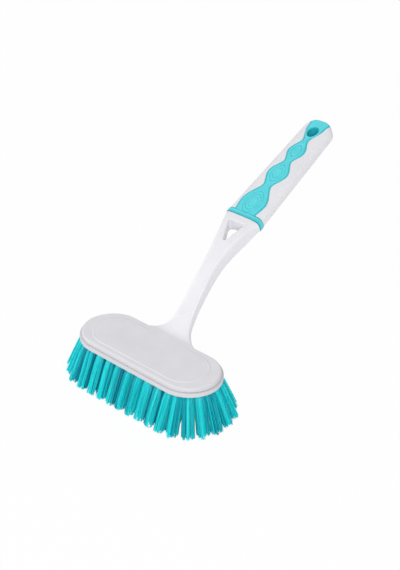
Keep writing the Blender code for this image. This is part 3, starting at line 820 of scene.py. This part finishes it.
def filament_shades(disc, lock, painted_row_shade, draw):
    """Shades from 0, dark, to 1, light: most of it by lock, a part by filament and by tuft.

    A quarter of the locks is dark. Painted shade darkens the inner rows, and by a cube of the place
    across a tuft's flanks, because less light gets between real filaments.
    """
    lock_shade = np.interp(draw.uniform(0, 1, lock_count), [0, 0.25, 0.30, 1], [0, 0.20, 0.85, 1])
    shade = lock_tone * lock_shade[lock] + filament_tone * draw.uniform(0, 1, disc.shape[0])
    return shade + tuft_tone * draw.uniform() + painted_row_shade - painted_flank_shade * np.abs(disc[:, 1]) ** 3


def tuft_mesh(name, root, outward, slant, tip_halves, count, painted_row_shade, draw):
    """A tuft of filaments from its hole to the floor, as rows of small three-sided rings.

    Places in the tuft fill the hole, swell just under the plate by an exponential and then widen
    evenly to an oval. Towards the tips the filaments gather in locks, each with its own way and
    length, bow a little by a parabola, and stay inside the box of the CAD.
    """
    disc = sunflower(count, draw.uniform(0, 2 * np.pi))
    locks = sunflower(lock_count, draw.uniform(0, 2 * np.pi))
    lock = np.argmin(np.linalg.norm(disc[:, None] - locks, axis=2), axis=1)
    gathered = disc + lock_pull * (locks[lock] - disc)
    leans_out = outward.any()
    sideways = np.array([-outward[1], outward[0]]) if leans_out else np.array([1.0, 0.0])
    forward = np.array([sideways[1], -sideways[0]])
    oval = gathered @ np.stack([forward * tip_halves[0], sideways * tip_halves[1]])
    # Powers of random shares leave most locks and filaments close to their full length
    lock_cut = (draw.uniform(0, 1, lock_count) ** shortfall_powers[0] * lock_shortfall)[lock]
    filament_cut = draw.uniform(0, 1, count) ** shortfall_powers[1] * filament_shortfall
    length = plate_bottom - lock_cut - filament_cut
    share = station_shares[None, :]
    drop = share * np.where(share < 0, plate_bottom, length[:, None])
    radius = fold_radius + swell * (1 - np.exp(-np.maximum(drop, 0) / swell_reach))
    spread = np.maximum(share, 0)[..., None]
    wander = draw.normal(0, lock_wander, (lock_count, 1, 2))[lock]
    wander = wander + draw.normal(0, filament_wander, (count, 1, 2))
    wander = wander + draw.normal(0, tuft_wander, 2)
    bow = draw.normal(0, bow_size, (count, 1, 2)) * 4 * spread * (1 - spread)
    bundle = (disc @ np.stack([forward, sideways * swell_stretch]))[:, None] * radius[..., None]
    flat = bundle * (1 - spread) + oval[:, None] * spread
    flat = root + flat + wander * spread + bow + outward * slant * drop[..., None]
    flat = np.clip(flat, cad_low + box_margin, cad_high - box_margin)
    around = 2 * np.pi * np.arange(filament_sides) / filament_sides
    corner = around + draw.uniform(0, 2 * np.pi, (count, 1, 1))
    ring = np.stack([np.cos(corner), np.sin(corner), np.zeros(corner.shape)], axis=-1)
    middles = np.concatenate([flat, (plate_bottom - drop)[..., None]], axis=-1)
    places = middles[:, :, None] + ring * filament_radius
    index = np.arange(places[..., 0].size).reshape(places.shape[:3])
    first, second = index[:, :-1], index[:, 1:]
    quads = np.stack([first, second, np.roll(second, -1, axis=2), np.roll(first, -1, axis=2)],
                     axis=-1)
    faces = quads.reshape(-1, 4).tolist() + index[:, 0].tolist() + index[:, -1, ::-1].tolist()
    piece = link_mesh(name, places, faces)
    shade = np.repeat(filament_shades(disc, lock, painted_row_shade, draw), index[0].size)
    piece.data.attributes.new("shade", "FLOAT", "POINT").data.foreach_set("value", shade)
    return piece


cad_low, cad_high = (np.array(corner)[:2] for corner in cad_box)
turquoise = filament()
draw = np.random.RandomState(2)
rows = zip(tuft_names, (outer, middle, centre), slants, row_tip_halves, tuft_counts, painted_row_shades)
for name, (places, outwards), slant, tip_halves, count, painted_row_shade in rows:
    for number, (root, outward) in enumerate(zip(places, outwards), start=1):
        root = root + np.array([0, head_shift])
        # Tufts round the head's ends have more room, so their tips fan out wider
        fan = tip_halves + np.array([0, end_fan * min(1, end_fan_gain * abs(outward[0]))])
        tuft = tuft_mesh(f"bristles_{name}_{number:02d}", root, outward, slant, fan, count,
                         painted_row_shade, draw)
        finish_piece(tuft, turquoise, tuft_crease, "turquoise_bristle",
                     f"tuft_{name}_{number:02d}")

# Studio: a white floor that fades into the background, and plain soft light from the front.
# Only the camera sees the floor as bright as the background; the brush sees a pale matt floor.

floor_half, floor_drop = 4, 0.0002
floor_glow, air_level = 0.955, 0.585
light_size, light_target = 1.3, (0, 0, 0.08)
right_light_place, right_light_power = (1.35, -1.71, 1.10), 25
left_light_place, left_light_power = (-2.00, -0.85, 0.95), 14

floor_mesh = bpy.data.meshes.new("studio_floor")
floor_corners = [(x * floor_half, y * floor_half, -floor_drop)
                 for x, y in ((-1, -1), (1, -1), (1, 1), (-1, 1))]
floor_mesh.from_pydata(floor_corners, [], [(0, 1, 2, 3)])
floor = bpy.data.objects.new("studio_floor", floor_mesh)
bpy.context.scene.collection.objects.link(floor)

paper = bpy.data.materials.new("white_paper")
paper.use_nodes = True
tree = paper.node_tree
tree.nodes.clear()
matt = add(tree, "ShaderNodeBsdfDiffuse", {"Color": linear("#FEFEFE")})
glow = add(tree, "ShaderNodeEmission", {"Color": linear("#FFFFFF"), "Strength": 1.0})
path = add(tree, "ShaderNodeLightPath")
seen = add(tree, "ShaderNodeMath", {"operation": "MULTIPLY"},
           {"Value": path.outputs["Is Camera Ray"]})
seen.inputs[1].default_value = floor_glow
mix = add(tree, "ShaderNodeMixShader", links={"Fac": seen.outputs[0]})
tree.links.new(matt.outputs[0], mix.inputs[1])
tree.links.new(glow.outputs[0], mix.inputs[2])
add(tree, "ShaderNodeOutputMaterial", links={"Surface": mix.outputs[0]})
floor_mesh.materials.append(paper)

world = bpy.data.worlds.new("studio_air")
bpy.context.scene.world = world
world.use_nodes = True
tree = world.node_tree
tree.nodes.clear()
path = add(tree, "ShaderNodeLightPath")
level = add(tree, "ShaderNodeMix", {"data_type": "FLOAT", "A": air_level, "B": 1.0},
            {"Factor": path.outputs["Is Camera Ray"]})
air = add(tree, "ShaderNodeBackground", {"Color": linear("#FFFFFF")},
          {"Strength": level.outputs[0]})
add(tree, "ShaderNodeOutputWorld", links={"Surface": air.outputs[0]})


def soft_box(name, place, power):
    """A square area lamp at place that faces the brush."""
    lamp = bpy.data.lights.new(name, "AREA")
    lamp.size, lamp.energy = light_size, power
    holder = bpy.data.objects.new(name, lamp)
    holder.location = place
    way = Vector(light_target) - Vector(place)
    holder.rotation_euler = way.to_track_quat("-Z", "Y").to_euler()
    bpy.context.scene.collection.objects.link(holder)


soft_box("right_light", right_light_place, right_light_power)
soft_box("left_light", left_light_place, left_light_power)

# Camera: the photograph's view, from the right of the head's front and above, turned a little
# about its own axis. Its focal length is in the photograph's pixels, as is its height.

azimuth, elevation, roll = (math.radians(angle) for angle in (40.092, 31.436, 1.505))
eye_place = (0.5596, -0.69907, 0.6076)
sensor_height, focal_pixels, picture_height = 36, 1178.3, 570

back = Vector((math.sin(azimuth) * math.cos(elevation), -math.cos(azimuth) * math.cos(elevation),
               math.sin(elevation)))
level_right = Vector((math.cos(azimuth), math.sin(azimuth), 0))
right = level_right * math.cos(roll) + back.cross(level_right) * math.sin(roll)
turned = Matrix((right, back.cross(right), back)).transposed().to_4x4()
eye = bpy.data.objects.new("camera", bpy.data.cameras.new("camera"))
eye.matrix_world = Matrix.Translation(eye_place) @ turned
eye.data.sensor_fit = "VERTICAL"
eye.data.sensor_height = sensor_height
eye.data.lens = sensor_height * focal_pixels / picture_height
bpy.context.scene.collection.objects.link(eye)
bpy.context.scene.camera = eye
bpy.context.scene.view_settings.view_transform = "Standard"
